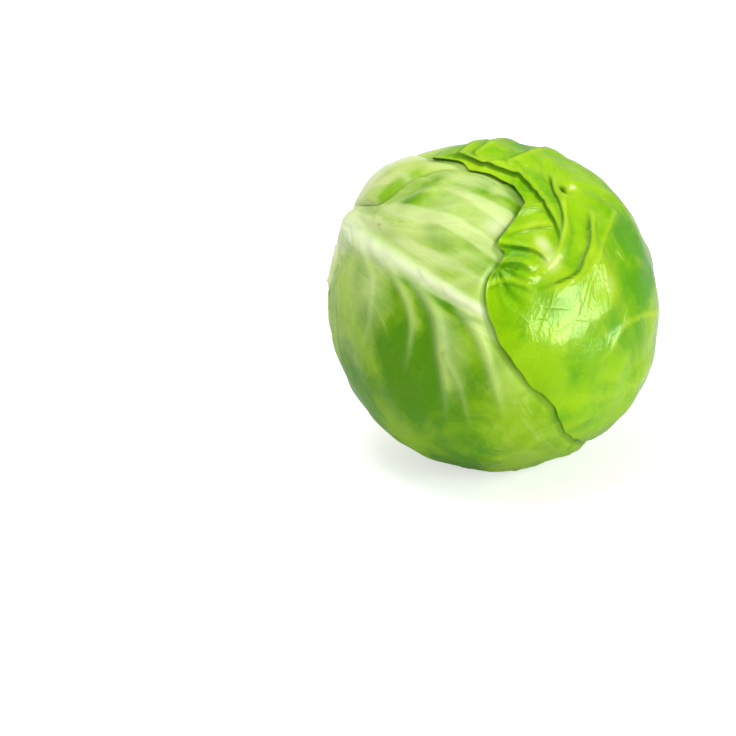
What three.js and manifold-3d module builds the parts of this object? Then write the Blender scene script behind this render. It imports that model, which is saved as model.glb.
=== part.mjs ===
// A whole head of white cabbage, lying on its side with the cut stalk up to the left and back.
// Millimetres, +Z up, the viewer in front at -Y and a little above. The origin is the middle of
// the small flat spot that the soft head rests on. The pieces are the stalk, the dense heart of
// tightly folded leaves that grows round it, and eight wrapper leaves laid over the heart.
import * as THREE from "three";
import { mergeVertices } from "three/addons/utils/BufferGeometryUtils.js";
import Module from "manifold-3d";

// The head: its outer surface is a sphere, drawn out towards the stalk and gently lumpy.
const headRadius = 90;
const restSink = 3;
const restRingSlope = 3.4;
const restMargin = 1;
const neckRise = 3;
const neckSpread = 34;
const lumpHeight = 1;
const lumpWaves = { alongX: 5.2, alongY: 6.8, alongZ: 4.6, slant: 3.1, second: 0.6, starts: [1.1, 0.7, -0.4] };
const restFade = { from: -0.98, to: -0.75 };
const viewerElevation = 22;
const stalkTurn = [-0.8365, 0.4209, 0.3509];

// The wrapper leaves: each takes one pitch of depth, and inner ones sink where outer ones cover.
const leafThickness = 0.9;
const layerPitch = 2.2;
const coverFeather = 20;
const marginLift = 1.6;
const marginLiftReach = 13;
const marginWave = { middle: 0.62, swing: 0.38, stemFrom: 24, stemTo: 45 };
const baseColatitude = 12;

// A midrib is broad where it leaves the stalk, swells over its first run and thins out past
// the middle. Where outer leaves press on it, only a share of its height is left.
const midribBase = { halfWidth: 15, height: 5, share: 0.35, run: 16 };
const midribEnd = { halfWidth: 3, height: 0.4, colatitude: 125, run: 15 };
const coveredMidribShare = 0.4;

// The heart shows its own folded leaves as low steps.
const heartGap = 0.9;
const heartStep = 1.3;
const heartFeather = 9;
const heartDetail = 8;

// The stalk: a cone of solid pith from inside the heart out to the cut end.
const stalkEnd = 94;
const stalkCutRadius = 15.5;
const stalkProfile = [[24, 5], [32, 9], [52, 11], [72, 13.5], [86, 15]];
const stalkBevel = 1.5;
const stalkSides = 28;
const stalkTipShare = 0.5;
const socketGap = 0.5;
const socketReach = 20;

// Swells and hollows of the whole head, placed by [right, up, towards the viewer].
const headSwells = [
  { at: [-0.743, 0.669, 0], height: 2.6, spread: 14 },
  { at: [-0.39, 0.92, 0.05], height: -3.2, spread: 8 },
  { at: [0.9, -0.43, 0], height: 2, spread: 13 },
];

const degrees = Math.PI / 180;
const headCentre = new THREE.Vector3(0, 0, headRadius - restSink);
const stemAxis = new THREE.Vector3(...stalkTurn).normalize();
const viewer = new THREE.Vector3(0, -Math.cos(viewerElevation * degrees), Math.sin(viewerElevation * degrees));
const frontAxis = viewer.clone().addScaledVector(stemAxis, -viewer.dot(stemAxis)).normalize();
const topAxis = stemAxis.clone().cross(frontAxis).normalize();
const down = new THREE.Vector3(0, 0, -1);
const rightAxis = new THREE.Vector3(1, 0, 0);
const upAxis = viewer.clone().cross(rightAxis);
for (const swell of headSwells) {
  const [right, up, towards] = swell.at;
  swell.direction = rightAxis.clone().multiplyScalar(right).addScaledVector(upAxis, up);
  swell.direction.addScaledVector(viewer, towards).normalize();
}

// Leaf outlines: [angle from the tip, reach] pairs in degrees, measured on the head round the
// leaf's middle. A positive angle is on the leaf's left as seen from outside with its tip up.
// The point opposite the tip is added for each leaf, where its base meets the stalk.
const commonOutline = [
  [-173, 77], [-165, 79], [-150, 73], [-120, 70], [-90, 72], [-60, 73], [-30, 73], [0, 71], [30, 74],
  [60, 72], [90, 70], [120, 69], [150, 73], [165, 79], [173, 77],
];
const frontOutline = [
  [-173, 66], [-164, 57], [-154, 58], [-140, 65], [-118, 75], [-90, 86], [-72, 92], [-55, 95],
  [-38, 95], [-20, 90], [0, 84], [30, 76], [60, 62], [85, 49], [105, 45], [119, 46], [140, 44.5],
  [154, 42.5], [162, 44], [168, 53], [174, 65],
];
const crownOutline = [
  [-173, 88], [-166, 82], [-158, 80.5], [-151, 79.5], [-142, 72.5], [-134, 68.5], [-128, 62.5],
  [-120, 58.5], [-109, 57], [-104, 60.5], [-99, 67.5], [-95.5, 72.5], [-91, 73], [-86.5, 80.5],
  [-80, 85.5], [-66, 89], [-48, 88], [-33, 86], [-18, 88], [0, 87], [25, 81], [50, 76], [75, 73],
  [100, 71], [122, 71], [142, 78], [157, 90], [167, 100], [174, 107],
];

// From the outermost leaf to the innermost. Longitude turns round the stem from the front
// meridian towards the top, and colatitude is the leaf middle's distance from the stem.
const wrapperLeaves = [
  { name: "wrapper_leaf_crown", longitude: 90, colatitude: 120, outline: crownOutline,
    cells: 26, waves: 9, tint: 0x9bd81c },
  { name: "wrapper_leaf_front", longitude: -5, colatitude: 80, outline: frontOutline,
    cells: 24, waves: 7, tint: 0xc5e86c },
  { name: "wrapper_leaf_under", longitude: -122, colatitude: 88, outline: commonOutline,
    cells: 18, waves: 8, tint: 0xa5d83c },
  { name: "wrapper_leaf_back", longitude: 152, colatitude: 86, outline: commonOutline,
    cells: 18, waves: 10, tint: 0xa9da40 },
  { name: "wrapper_leaf_top", longitude: 58, colatitude: 88, outline: commonOutline,
    cells: 18, waves: 7, tint: 0xbfe564 },
  { name: "wrapper_leaf_far", longitude: -168, colatitude: 92, outline: commonOutline,
    cells: 16, waves: 9, tint: 0xb4df58 },
  { name: "wrapper_leaf_lower", longitude: -62, colatitude: 88, outline: commonOutline,
    cells: 16, waves: 8, tint: 0xc0e470 },
  { name: "wrapper_leaf_inner", longitude: 20, colatitude: 90, outline: commonOutline,
    cells: 16, waves: 6, tint: 0xcfea88 },
];
const heartLeaves = [
  { longitude: 105, colatitude: 70, outline: commonOutline },
  { longitude: -100, colatitude: 76, outline: commonOutline },
  { longitude: -28, colatitude: 66, outline: commonOutline },
  { longitude: 178, colatitude: 68, outline: commonOutline },
];

const smoothStep = (low, high, x) => THREE.MathUtils.smoothstep(x, low, high);

// The unit vectors that a leaf's places are measured with.
function layOut(leaf) {
  leaf.outline = [[-180, leaf.colatitude - baseColatitude], ...leaf.outline];
  const turn = leaf.longitude * degrees;
  const reach = leaf.colatitude * degrees;
  const meridian = frontAxis.clone().multiplyScalar(Math.cos(turn)).addScaledVector(topAxis, Math.sin(turn));
  leaf.meridian = meridian;
  leaf.side = frontAxis.clone().multiplyScalar(-Math.sin(turn)).addScaledVector(topAxis, Math.cos(turn));
  leaf.middle = stemAxis.clone().multiplyScalar(Math.cos(reach)).addScaledVector(meridian, Math.sin(reach));
  leaf.tip = stemAxis.clone().multiplyScalar(-Math.sin(reach)).addScaledVector(meridian, Math.cos(reach));
}

wrapperLeaves.forEach(layOut);
heartLeaves.forEach(layOut);

// The outline's reach at an angle, on a smooth closed curve through its points.
function reachAt(outline, angle) {
  const count = outline.length;
  const turned = ((angle + 540) % 360) - 180;
  let index = count - 1;
  while (index > 0 && outline[index][0] > turned) index -= 1;
  const at = (k) => {
    const lap = Math.floor(k / count);
    const [pointAngle, reach] = outline[k - lap * count];
    return [pointAngle + 360 * lap, reach];
  };
  const [before, start, end, after] = [at(index - 1), at(index), at(index + 1), at(index + 2)];
  const span = end[0] - start[0];
  const t = (turned - start[0]) / span;
  const slopeIn = ((end[1] - before[1]) / (end[0] - before[0])) * span;
  const slopeOut = ((after[1] - start[1]) / (after[0] - start[0])) * span;
  const [t2, t3] = [t * t, t * t * t];
  return (2 * t3 - 3 * t2 + 1) * start[1] + (t3 - 2 * t2 + t) * slopeIn
    + (3 * t2 - 2 * t3) * end[1] + (t3 - t2) * slopeOut;
}

// Angle and distance of a direction from the leaf's middle, and the outline's reach there.
function polarOn(leaf, direction) {
  const distance = Math.acos(THREE.MathUtils.clamp(direction.dot(leaf.middle), -1, 1)) / degrees;
  const angle = Math.atan2(direction.dot(leaf.side), direction.dot(leaf.tip)) / degrees;
  return { distance, angle, edge: reachAt(leaf.outline, angle) };
}

function directionOn(leaf, angle, distance) {
  const along = leaf.tip.clone().multiplyScalar(Math.cos(angle * degrees));
  along.addScaledVector(leaf.side, Math.sin(angle * degrees));
  const direction = leaf.middle.clone().multiplyScalar(Math.cos(distance * degrees));
  return direction.addScaledVector(along, Math.sin(distance * degrees)).normalize();
}

// One inside a leaf's outline, falling smoothly to nothing a feather's width outside it.
function coverOf(leaf, direction, feather) {
  const { distance, edge } = polarOn(leaf, direction);
  return 1 - smoothStep(0, feather, distance - edge);
}

// The head's outer surface, as a distance from its centre.
function outerRadius(direction) {
  const fromStem = Math.acos(THREE.MathUtils.clamp(direction.dot(stemAxis), -1, 1)) / degrees;
  const neck = neckRise * (1 - smoothStep(0, neckSpread, fromStem));
  const { x, y, z } = direction;
  const awayFromRest = smoothStep(restFade.from, restFade.to, z);
  const { alongX, alongY, alongZ, slant, second, starts } = lumpWaves;
  const lumps = Math.sin(alongX * x + starts[0]) * Math.cos(alongZ * z + starts[2])
    + second * Math.sin(alongY * y + slant * x + starts[1]);
  const swells = headSwells.reduce((sum, { direction: middle, height, spread }) => {
    const away = middle.angleTo(direction) / degrees;
    return sum + height * Math.exp(-((away / spread) ** 2));
  }, 0);
  return headRadius + neck + swells + awayFromRest * lumpHeight * lumps;
}

// Extra thickness of a leaf along its midrib.
function midribOn(leaf, direction) {
  const along = Math.atan2(direction.dot(leaf.meridian), direction.dot(stemAxis)) / degrees;
  const across = Math.abs(Math.asin(THREE.MathUtils.clamp(direction.dot(leaf.side), -1, 1))) * headRadius;
  if (along < 0) return 0;
  const share = smoothStep(baseColatitude, midribEnd.colatitude, along);
  const halfWidth = THREE.MathUtils.lerp(midribBase.halfWidth, midribEnd.halfWidth, Math.sqrt(share));
  const height = THREE.MathUtils.lerp(midribBase.height, midribEnd.height, Math.sqrt(share));
  const crown = Math.max(0, 1 - (across / halfWidth) ** 2);
  const fromBase = smoothStep(baseColatitude, baseColatitude + midribBase.run, along);
  const fullness = THREE.MathUtils.lerp(midribBase.share, 1, fromBase);
  const ending = 1 - smoothStep(midribEnd.colatitude, midribEnd.colatitude + midribEnd.run, along);
  return height * fullness * crown * crown * ending;
}

// How far a leaf's free margin waves out from the leaves below it.
function liftOn(leaf, direction) {
  const { distance, angle, edge } = polarOn(leaf, direction);
  const nearMargin = smoothStep(edge - marginLiftReach, edge, distance);
  const fromStem = Math.acos(THREE.MathUtils.clamp(direction.dot(stemAxis), -1, 1)) / degrees;
  const wave = marginWave.middle + marginWave.swing * Math.sin(leaf.waves * angle * degrees + leaf.longitude);
  return marginLift * nearMargin * wave * smoothStep(marginWave.stemFrom, marginWave.stemTo, fromStem);
}

// Folds of the crown leaf. Each is a line on the head, from the viewer's side, given as points
// right of and above the head's centre; the leaf stands up on one side of it and falls on the other.
const crownFolds = [
  { height: 3.2, run: 15, points: [[3, 74], [19, 69], [27, 56], [33, 46], [36, 39], [33, 31]] },
  { height: 1.7, run: 11, points: [[51, 53], [51, 41], [49, 30], [43, 18], [33, 13]] },
];
const foldFall = 3;
const foldPoints = 36;
const foldStart = 0.12;
const foldTaper = 0.6;
function frontDirection([right, up]) {
  const [x, y] = [right / headRadius, up / headRadius];
  const towards = Math.sqrt(Math.max(0, 1 - x * x - y * y));
  return viewer.clone().multiplyScalar(towards).addScaledVector(upAxis, y).addScaledVector(rightAxis, x);
}
for (const fold of crownFolds) {
  const curve = new THREE.CatmullRomCurve3(fold.points.map((p) => frontDirection(p).multiplyScalar(headRadius)));
  fold.line = curve.getPoints(foldPoints);
}
function foldsAt(direction) {
  const place = direction.clone().multiplyScalar(headRadius);
  let rise = 0;
  for (const { height, run, line } of crownFolds) {
    let nearest = 0;
    line.forEach((point, k) => {
      if (point.distanceToSquared(place) < line[nearest].distanceToSquared(place)) nearest = k;
    });
    const share = nearest / (line.length - 1);
    const ahead = line[Math.min(nearest + 1, line.length - 1)];
    const behind = line[Math.max(nearest - 1, 0)];
    const forward = ahead.clone().sub(behind).normalize();
    const offset = place.clone().sub(line[nearest]);
    const raisedSide = offset.dot(direction.clone().cross(forward)) > 0;
    const away = offset.length();
    const fall = raisedSide ? Math.exp(-((away / run) ** 2)) : 1 - smoothStep(0, foldFall, away);
    const taper = Math.sin(Math.PI * THREE.MathUtils.lerp(foldStart, 1, share)) ** foldTaper;
    rise = Math.max(rise, height * fall * taper);
  }
  return rise;
}

// A leaf's two faces at a direction, and the room that it takes from what lies under it.
function stackAt(direction, stopAt) {
  let depth = 0;
  let cover = 0;
  for (const leaf of wrapperLeaves) {
    const midrib = midribOn(leaf, direction);
    const sunk = cover * coveredMidribShare * midrib;
    if (leaf === stopAt) {
      const bare = 1 - cover;
      const lift = bare * (liftOn(leaf, direction) + (leaf === wrapperLeaves[0] ? foldsAt(direction) : 0));
      return { depth, outer: lift + bare * midrib, inner: lift - sunk - leafThickness };
    }
    const mask = coverOf(leaf, direction, coverFeather);
    depth += mask * (layerPitch + sunk);
    cover = Math.max(cover, mask);
  }
  return { depth };
}

// The lowest that a leaf's outer face may reach, where outer leaves lie between it and the floor.
function restLevel(index) {
  const spots = [0, 45, 90, 135, 180, 225, 270, 315].map((turn) => {
    const [x, y] = [Math.cos(turn * degrees), Math.sin(turn * degrees)];
    return new THREE.Vector3(x, y, -restRingSlope).normalize();
  });
  const liesThere = (leaf) => [down, ...spots].some((spot) => {
    const { distance, edge } = polarOn(leaf, spot);
    return distance < edge + restMargin;
  });
  return wrapperLeaves.slice(0, index).filter(liesThere).length * layerPitch;
}

function placeAt(direction, radius, lowest) {
  const place = headCentre.clone().addScaledVector(direction, radius);
  place.z = Math.max(place.z, lowest);
  return place;
}

// Both faces of a leaf on one square net, bent to the outline, with a rim between them.
function leafGeometry(leaf, index) {
  const { cells, outline } = leaf;
  const mean = outline.reduce((sum, [, reach]) => sum + reach, 0) / outline.length;
  const level = restLevel(index);
  const outerFace = [];
  const innerFace = [];
  for (let row = 0; row <= cells; row += 1) {
    for (let column = 0; column <= cells; column += 1) {
      const [p, q] = [(2 * column) / cells - 1, (2 * row) / cells - 1];
      const [u, v] = [p * Math.sqrt(1 - (q * q) / 2), q * Math.sqrt(1 - (p * p) / 2)];
      const share = Math.min(1, Math.hypot(u, v));
      const angle = Math.atan2(v, u) / degrees;
      const distance = share * (mean + (reachAt(outline, angle) - mean) * share);
      const direction = directionOn(leaf, angle, distance);
      const base = outerRadius(direction);
      const { depth, outer, inner } = stackAt(direction, leaf);
      outerFace.push(placeAt(direction, base - depth + outer, level));
      innerFace.push(placeAt(direction, base - depth + inner, level + leafThickness));
    }
  }
  return sheetSolid(outerFace, innerFace, cells);
}

function sheetSolid(outerFace, innerFace, cells) {
  const side = cells + 1;
  const back = side * side;
  const positions = [...outerFace, ...innerFace].flatMap((place) => place.toArray());
  const triangles = [];
  for (let row = 0; row < cells; row += 1) {
    for (let column = 0; column < cells; column += 1) {
      const a = row * side + column;
      const [b, c, d] = [a + 1, a + side + 1, a + side];
      const rising = (column < cells / 2) === (row < cells / 2);
      const halves = rising ? [[a, b, c], [a, c, d]] : [[a, b, d], [b, c, d]];
      for (const [i, j, k] of halves) triangles.push(i, j, k, back + k, back + j, back + i);
    }
  }
  const rim = [];
  for (let k = 0; k < cells; k += 1) rim.push(k);
  for (let k = 0; k < cells; k += 1) rim.push(k * side + cells);
  for (let k = cells; k > 0; k -= 1) rim.push(cells * side + k);
  for (let k = cells; k > 0; k -= 1) rim.push(k * side);
  rim.forEach((i, k) => {
    const j = rim[(k + 1) % rim.length];
    triangles.push(j, i, back + i, j, back + i, back + j);
  });
  const geometry = new THREE.BufferGeometry();
  geometry.setAttribute("position", new THREE.BufferAttribute(new Float32Array(positions), 3));
  geometry.setIndex(triangles);
  return geometry;
}

// The heart: a ball that fills what the wrapper leaves leave, stepped where its own leaves overlap.
function heartGeometry() {
  const ball = new THREE.IcosahedronGeometry(1, heartDetail);
  ball.deleteAttribute("normal");
  ball.deleteAttribute("uv");
  const geometry = mergeVertices(ball);
  const level = restLevel(wrapperLeaves.length) + heartGap;
  const position = geometry.getAttribute("position");
  for (let k = 0; k < position.count; k += 1) {
    const direction = new THREE.Vector3().fromBufferAttribute(position, k).normalize();
    const covers = heartLeaves.map((leaf) => coverOf(leaf, direction, heartFeather));
    const steps = covers.reduce((sum, cover) => sum + 1 - cover, 0) * heartStep;
    const radius = outerRadius(direction) - stackAt(direction).depth - heartGap - steps;
    position.setXYZ(k, ...placeAt(direction, radius, level).toArray());
  }
  return geometry;
}

// The stalk's outline turned round its axis; a positive gap makes the socket that takes it.
function stalkGeometry(gap) {
  const [tipAxial, tipRadius] = stalkProfile[0];
  const points = [[tipAxial - tipRadius * stalkTipShare - gap, 0]];
  for (const [axial, radius] of stalkProfile) points.push([axial - gap, radius + gap]);
  if (gap > 0) points.push([stalkEnd + socketReach, stalkCutRadius + gap], [stalkEnd + socketReach, 0]);
  else points.push([stalkEnd - stalkBevel, stalkCutRadius], [stalkEnd, stalkCutRadius - stalkBevel], [stalkEnd, 0]);
  const profile = points.map(([axial, radius]) => new THREE.Vector2(radius, axial));
  const geometry = new THREE.LatheGeometry(profile, stalkSides);
  geometry.applyQuaternion(new THREE.Quaternion().setFromUnitVectors(new THREE.Vector3(0, 1, 0), stemAxis));
  geometry.translate(...headCentre.toArray());
  return geometry;
}

const wasm = await Module();
wasm.setup();

function toSolid(source) {
  const bare = source.clone();
  bare.deleteAttribute("normal");
  bare.deleteAttribute("uv");
  const merged = mergeVertices(bare, 1e-3);
  const vertProperties = new Float32Array(merged.attributes.position.array);
  const triVerts = new Uint32Array(merged.index.array);
  return new wasm.Manifold(new wasm.Mesh({ numProp: 3, vertProperties, triVerts }));
}

function toGeometry(solid) {
  const mesh = solid.getMesh();
  const geometry = new THREE.BufferGeometry();
  geometry.setAttribute("position", new THREE.BufferAttribute(new Float32Array(mesh.vertProperties), 3));
  geometry.setIndex(new THREE.BufferAttribute(mesh.triVerts, 1));
  return geometry;
}

function addPiece(group, name, geometry, colour, roughness) {
  geometry.computeVertexNormals();
  const material = new THREE.MeshStandardMaterial({ color: colour, roughness, metalness: 0 });
  const mesh = new THREE.Mesh(geometry, material);
  mesh.name = name;
  group.add(mesh);
}

const cabbage = new THREE.Group();
addPiece(cabbage, "stalk", stalkGeometry(0), 0xe9efc9, 0.6);
const socketed = toSolid(heartGeometry()).subtract(toSolid(stalkGeometry(socketGap)));
addPiece(cabbage, "heart", toGeometry(socketed), 0xe3f0b0, 0.5);
wrapperLeaves.forEach((leaf, index) => {
  addPiece(cabbage, leaf.name, leafGeometry(leaf, index), leaf.tint, 0.4);
});

export default cabbage;
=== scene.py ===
# A whole head of cabbage on a pale table: trimmed stalk, packed heart and eight wrapper leaves.
# Metres, +Z up, seen from -Y and a little above.
import math
from functools import partial
import bpy
import numpy as np
from mathutils import Matrix, Vector, kdtree


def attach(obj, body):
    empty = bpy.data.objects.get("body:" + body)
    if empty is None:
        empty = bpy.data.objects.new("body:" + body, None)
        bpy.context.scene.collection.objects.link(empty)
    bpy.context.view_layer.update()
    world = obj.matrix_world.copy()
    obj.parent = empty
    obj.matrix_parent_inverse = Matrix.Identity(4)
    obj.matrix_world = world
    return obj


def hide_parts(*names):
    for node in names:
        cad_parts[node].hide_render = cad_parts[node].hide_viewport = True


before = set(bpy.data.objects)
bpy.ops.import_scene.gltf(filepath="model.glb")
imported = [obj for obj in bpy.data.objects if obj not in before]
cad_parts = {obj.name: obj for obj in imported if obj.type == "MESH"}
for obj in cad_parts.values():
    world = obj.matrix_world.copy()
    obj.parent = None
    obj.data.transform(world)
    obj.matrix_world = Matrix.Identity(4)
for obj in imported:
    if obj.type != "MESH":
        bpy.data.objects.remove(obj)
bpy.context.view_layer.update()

# the head as a whole, in millimetres and degrees, as in the solids
head = {
    "radius": 90.0, "restSink": 3.0, "neckRise": 3.0, "neckSpread": 34.0, "lumpHeight": 1.0,
    "viewerElevation": 22.0, "stalkTurn": (-0.8365, 0.4209, 0.3509), "baseColatitude": 12.0,
    "layerPitch": 2.2, "feather": 6.0, "heartGap": 1.4, "restRingSlope": 3.4,
    "swells": [((-0.743, 0.669, 0.0), 2.6, 14.0), ((-0.39, 0.92, 0.05), -3.2, 8.0),
               ((0.9, -0.43, 0.0), 2.0, 13.0)],
}
view = {"distance": 2400.0, "mmPerPixel": 0.5475, "imageSize": 736, "headPixel": (494.0, 306.0),
        "sensor": 36.0}


def unit(v):
    return v / np.linalg.norm(v, axis=-1, keepdims=True)


def smooth(low, high, x):
    t = np.clip((x - low) / (high - low), 0.0, 1.0)
    return t * t * (3 - 2 * t)


def bell(away, spread):
    return np.exp(-(away / spread) ** 2)


def taper(along, start, end):
    # rises over the start of a line and falls from the share `end` on
    return smooth(0.0, start, along) * smooth(1.0, end, along)


def dot(dirs, axis):
    return np.clip(dirs @ axis, -1.0, 1.0)


tilt = math.radians(head["viewerElevation"])
rightAxis = np.array([1.0, 0.0, 0.0])
upAxis = np.array([0.0, math.sin(tilt), math.cos(tilt)])
viewer = np.array([0.0, -math.cos(tilt), math.sin(tilt)])
stem = unit(np.array(head["stalkTurn"]))
frontAxis = unit(viewer - stem * viewer.dot(stem))
topAxis = np.cross(stem, frontAxis)
headCentre = np.array([0.0, 0.0, head["radius"] - head["restSink"]])

# the camera keeps the head where the photograph has it in its frame
halfImage = view["imageSize"] / 2
aim = headCentre - view["mmPerPixel"] * (rightAxis * (view["headPixel"][0] - halfImage)
                                         + upAxis * (halfImage - view["headPixel"][1]))
eye = aim + viewer * view["distance"]


def addCamera():
    bpy.ops.object.camera_add(location=Vector(eye / 1000))
    camera = bpy.context.object
    camera.name = "photo_camera"
    turn = Matrix((rightAxis, upAxis, viewer)).transposed()
    camera.rotation_euler = turn.to_euler()
    camera.data.sensor_width = view["sensor"]
    camera.data.lens = view["sensor"] / 2 * view["distance"] / (halfImage * view["mmPerPixel"])
    camera.data.clip_end = 50
    bpy.context.scene.camera = camera


addCamera()
print("camera in place")


def onHead(pixel):
    # direction from the head's middle of the place that is seen at a pixel
    offset = view["mmPerPixel"] * (rightAxis * (pixel[0] - halfImage) + upAxis * (halfImage - pixel[1]))
    ray = unit(offset - viewer * view["distance"])
    toCentre = headCentre - eye
    along = ray.dot(toCentre)
    missSquared = toCentre.dot(toCentre) - along ** 2
    depth = along - math.sqrt(max(0.0, head["radius"] ** 2 - missSquared))
    return unit(eye + ray * depth - headCentre)


def smoothLine(points, spacing=0.4):
    # a soft curve through the points, sampled evenly over the head
    points = [np.asarray(p) for p in points]
    padded = [2 * points[0] - points[1]] + points + [2 * points[-1] - points[-2]]
    samples = []
    for a, b, c, d in zip(padded, padded[1:], padded[2:], padded[3:]):
        count = max(2, int(np.linalg.norm(c - b) * head["radius"] / spacing))
        t = (np.arange(count) / count)[:, None]
        samples.append(0.5 * (2 * b + (c - a) * t + (2 * a - 5 * b + 4 * c - d) * t ** 2
                              + (3 * b - a - 3 * c + d) * t ** 3))
    samples.append(points[-1][None, :])
    return unit(np.concatenate(samples))


def nearestOn(lines, dirs, reach):
    # for each direction: the nearest line, its distance in millimetres, the share along it, and the side
    tree = kdtree.KDTree(sum(len(line) for line in lines))
    owner, share, tangent = [], [], []
    for number, line in enumerate(lines):
        steps = np.gradient(line, axis=0)
        for k, place in enumerate(line):
            tree.insert(Vector(place * head["radius"]), len(owner))
            owner.append(number)
            share.append(k / (len(line) - 1))
            tangent.append(steps[k])
    tree.balance()
    owner, share, tangent = np.array(owner), np.array(share), unit(np.array(tangent))
    places = np.concatenate(lines) * head["radius"]
    index = np.full(len(dirs), -1)
    away = np.full(len(dirs), 1e3)
    middle = unit(np.concatenate(lines).mean(axis=0))
    spread = dot(np.concatenate(lines), middle).min()
    limit = math.cos(min(math.pi, math.acos(spread) + reach / head["radius"]))
    for k in np.nonzero(dirs @ middle >= limit)[0]:
        _, number, distance = tree.find(Vector(dirs[k] * head["radius"]))
        if distance < reach:
            index[k] = number
            away[k] = distance
    near = index >= 0
    side = np.zeros(len(dirs))
    offset = dirs[near] * head["radius"] - places[index[near]]
    left = np.cross(dirs[near], tangent[index[near]])
    side[near] = np.sign(np.einsum("ij,ij->i", offset, left))
    where = np.zeros(len(dirs))
    where[near] = share[index[near]]
    which = np.where(near, owner[index], -1)
    return which, away, where, side


def degreesFrom(axis, dirs):
    return np.degrees(np.arccos(dot(dirs, axis)))


def awayFrom(pixel, dirs):
    # millimetres over the head from the place that is seen at a pixel
    return np.arccos(dot(dirs, onHead(pixel))) * head["radius"]


def spotsOn(spots, dirs):
    # the sum of soft round spots at the pixels x, y
    total = np.zeros(len(dirs))
    for x, y, spread, value in spots:
        total += value * bell(awayFrom((x, y), dirs), spread)
    return total


def waves(dirs, size, seed, count=14):
    # smooth irregular swells, about -1 to 1, with hills about `size` millimetres apart
    draw = np.random.RandomState(seed)
    directions = unit(draw.normal(size=(count, 3)))
    lengths = (2 * math.pi * head["radius"] / size) * draw.uniform(0.7, 1.4, count)
    phases = draw.uniform(0, 2 * math.pi, count)
    return np.sin(dirs @ (directions * lengths[:, None]).T + phases).sum(axis=1) * 1.4 / math.sqrt(count)


# leaf outlines: (angle from the tip, reach) round the leaf's middle, in degrees
commonOutline = [
    (-173, 77), (-165, 79), (-150, 73), (-120, 70), (-90, 72), (-60, 73), (-30, 73), (0, 71), (30, 74),
    (60, 72), (90, 70), (120, 69), (150, 73), (165, 79), (173, 77)]
frontOutline = [
    (-173, 66), (-164, 57), (-154, 58), (-140, 65), (-118, 75), (-90, 86), (-72, 92), (-55, 95),
    (-38, 95), (-20, 90), (0, 84), (30, 76), (60, 62), (85, 49), (105, 45), (119, 46), (140, 44.5),
    (154, 42.5), (162, 44), (168, 53), (174, 65)]
crownOutline = [
    (-173, 88), (-166, 82), (-158, 80.5), (-151, 79.5), (-142, 72.5), (-134, 68.5), (-128, 62.5),
    (-120, 58.5), (-109, 57), (-104, 60.5), (-99, 67.5), (-95.5, 72.5), (-91, 73), (-86.5, 80.5),
    (-80, 85.5), (-66, 89), (-48, 88), (-33, 86), (-18, 88), (0, 87), (25, 81), (50, 76), (75, 73),
    (100, 71), (122, 71), (142, 78), (157, 90), (167, 100), (174, 107)]


def fold(height, run, edge, line, **more):
    # stands up on the left of its line and falls off sharply on its right; dark sets how strong the painted
    # shade along its line is
    return dict(more, height=height, run=run, edge=edge, line=line)


def vein(width, height, line, **more):
    # shade is painted light on the left of the line and painted shade on its right, band a painted shadow
    # line along it
    return dict(more, width=width, height=height, line=line)


crownFolds = [
    fold(2.4, 11, 1.35, [(440, 157.5), (452, 155.5), (466, 158), (481, 163), (496, 167), (512, 172.5),
        (526, 181), (536, 193), (548, 212), (556, 228), (559, 240), (555, 251), (546, 258.5)]),
    fold(2.0, 10, 1.2, [(586, 206), (587.5, 229), (587, 245), (583, 257), (576, 273), (558, 282.5),
        (535, 291)]),
    fold(1.4, 4, 1.35, [(549, 172), (553, 190), (559, 203), (561.5, 216), (560.5, 232), (558, 244)]),
    fold(1.7, 7, 1.4, [(494, 245), (506, 245.5), (521, 247.5), (536, 253),
        (552, 263)], dark=0.7, groove=0.2),
    fold(0.9, 5, 1.2, [(506, 237), (522, 230), (538, 226.5), (560, 228)], dark=0.35, groove=0.1),
    fold(0.9, 5, 1.2, [(488, 270), (502, 264), (518, 264), (536, 274)], dark=0.35, groove=0.1),
    fold(0.8, 5, 1.2, [(512, 216), (526, 209), (540, 209), (556, 217)], dark=0.3, groove=0.1),
    fold(0.7, 5, 1.2, [(486, 290), (500, 284), (516, 285), (534, 292)], dark=0.3, groove=0.1),
    fold(2.8, 9, 1.6, [(520, 139), (505, 140.5), (492, 145), (483, 150), (474, 155.5), (484, 162)]),
    fold(2.8, 10, 1.6, [(548, 150), (532, 153.5), (518, 157.5), (506, 161.5), (512, 171)]),
    fold(2.2, 7, 1.6, [(490, 140), (476, 145), (466, 150), (459, 155.5), (470, 159)]),
]
crownVeins = [
    vein(2.6, 1.0, [(657, 311), (640, 317), (627, 325), (620, 338), (614, 350), (600, 366), (580, 391)]),
    vein(1.5, 0.7, [(612, 213), (604, 235), (600, 251), (590, 275), (583, 300), (572, 325), (567, 345),
        (557, 366), (543, 371)]),
    vein(1.1, 0.5, [(598, 262), (592, 285), (587, 307), (577, 327), (570, 337)]),
    vein(1.1, 0.5, [(575, 276), (560, 291), (549, 310), (538, 335), (526, 343), (523, 352)]),
    vein(0.9, 0.4, [(583, 300), (566, 320), (542, 334), (527, 338)]),
    vein(0.8, 0.35, [(523, 312), (514, 320), (506, 327)]),
    vein(0.8, 0.35, [(614, 350), (606, 345), (600, 335), (590, 330)]),
    vein(0.8, 0.35, [(557, 366), (566, 376), (563, 390)]),
    vein(0.9, 0.4, [(640, 317), (645, 340), (641, 368)]),
    vein(2.6, 0.9, [(564, 196), (564.5, 218), (561.5, 238), (553, 262), (535, 275), (516, 280)]),
    vein(1.8, 0.6, [(604, 235), (597, 256), (585, 276), (566, 290), (545, 299)]),
]
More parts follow.
